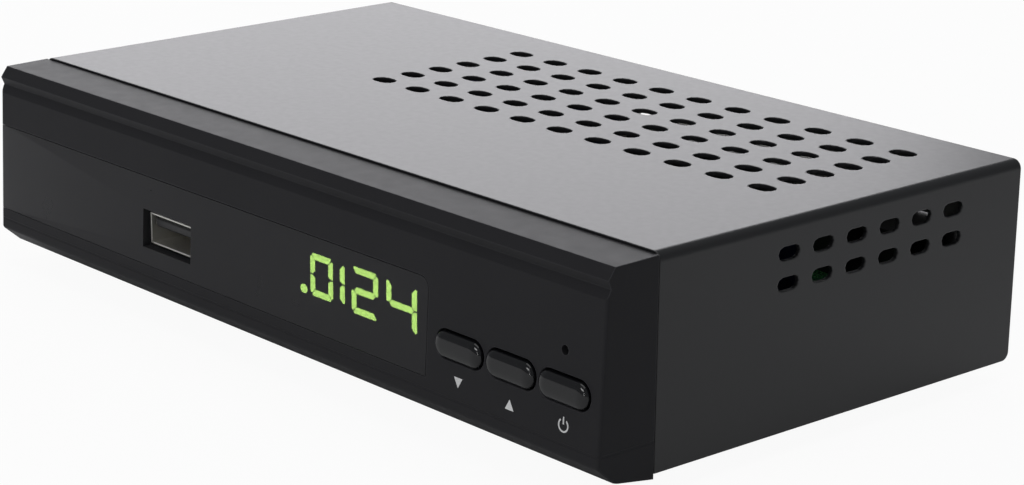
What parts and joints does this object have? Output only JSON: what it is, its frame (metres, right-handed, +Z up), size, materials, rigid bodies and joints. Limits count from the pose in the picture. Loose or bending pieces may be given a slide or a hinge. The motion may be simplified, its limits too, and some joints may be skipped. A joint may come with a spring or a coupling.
{
  "type": "satellite television receiver",
  "caption": "Compact black set-top receiver: moulded front with a smoked display strip, data socket and keys, folded vented steel cover, rear sockets.",
  "frame": {"origin": "centre of the bounding box's base, on the floor under the feet", "axes": "+X to the right seen from the front, +Y to the back, +Z up"},
  "size_m": [0.168, 0.1056, 0.0391],
  "materials": {
    "cover_black": "satin black powder coat",
    "chassis_zinc": "zinc plated sheet",
    "foot_rubber": "matt",
    "bezel_plastic": "satin",
    "window_smoke": "smoked and glossy",
    "key_gloss": "glossy black",
    "stem_plastic": "moulded",
    "switch_plastic": "moulded",
    "board_green": "solder mask",
    "module_black": "matt",
    "segment_glow": "lit",
    "eye_dark": "glossy",
    "light_clear": "tinted",
    "shell_plate": "nickel plated",
    "insulator_black": "moulded",
    "insulator_white": "moulded",
    "contact_gold": "gold plated",
    "tuner_tin": "tinned sheet",
    "chip_black": "moulded",
    "sink_black": "extruded",
    "crystal_can": "drawn can",
    "can_sleeve": "shrunk sleeve",
    "choke_red": "varnished",
    "collar_orange": "moulded",
    "wire_white": "insulated wire",
    "screw_steel": "plated"
  },
  "bodies": {
    "case": {"top_cover": "cover_black", "bottom_chassis": "chassis_zinc", "rubber_feet": "foot_rubber", "front_bezel": "bezel_plastic", "display_window": "window_smoke", "switch_housings": "switch_plastic", "front_board": "board_green", "front_board_screws": "screw_steel", "display_module": "module_black", "display_segments": "segment_glow", "remote_eye": "eye_dark", "standby_light": "light_clear", "usb_shell": "shell_plate", "usb_insulator": "insulator_black", "usb_contacts": "contact_gold", "main_board": "board_green", "main_board_screws": "screw_steel", "tuner_box": "tuner_tin", "tuner_lid": "tuner_tin", "aerial_barrel": "shell_plate", "aerial_insulator": "insulator_white", "aerial_washer": "shell_plate", "aerial_nut": "shell_plate", "hdmi_shell": "shell_plate", "hdmi_insulator": "insulator_black", "scart_shell": "shell_plate", "scart_insulator": "insulator_black", "coax_block": "collar_orange", "coax_sleeve": "shell_plate", "coax_insulator": "insulator_white", "power_block": "insulator_black", "power_pin": "shell_plate", "processor": "chip_black", "heat_sink": "sink_black", "memory_chips": "chip_black", "small_chips": "chip_black", "crystals": "crystal_can", "large_capacitors": "can_sleeve", "small_capacitors": "can_sleeve", "chokes": "choke_red", "board_socket": "insulator_white", "front_socket": "insulator_white", "ribbon_cable": "wire_white", "cover_screws": "screw_steel"},
    "key_down": {"button_down": "key_gloss", "switch_stem_down": "stem_plastic"},
    "key_up": {"button_up": "key_gloss", "switch_stem_up": "stem_plastic"},
    "key_power": {"button_power": "key_gloss", "switch_stem_power": "stem_plastic"}
  },
  "joints": [
    {"name": "press_down", "type": "slide", "parent": "case", "child": "key_down", "axis": [0, 1, 0], "range_m": [0, 0.0003], "stiffness_N_per_m": 120, "springref_m": -0.0001},
    {"name": "press_up", "type": "slide", "parent": "case", "child": "key_up", "axis": [0, 1, 0], "range_m": [0, 0.0003], "stiffness_N_per_m": 120, "springref_m": -0.0001},
    {"name": "press_power", "type": "slide", "parent": "case", "child": "key_power", "axis": [0, 1, 0], "range_m": [0, 0.0003], "stiffness_N_per_m": 120, "springref_m": -0.0001}
  ]
}
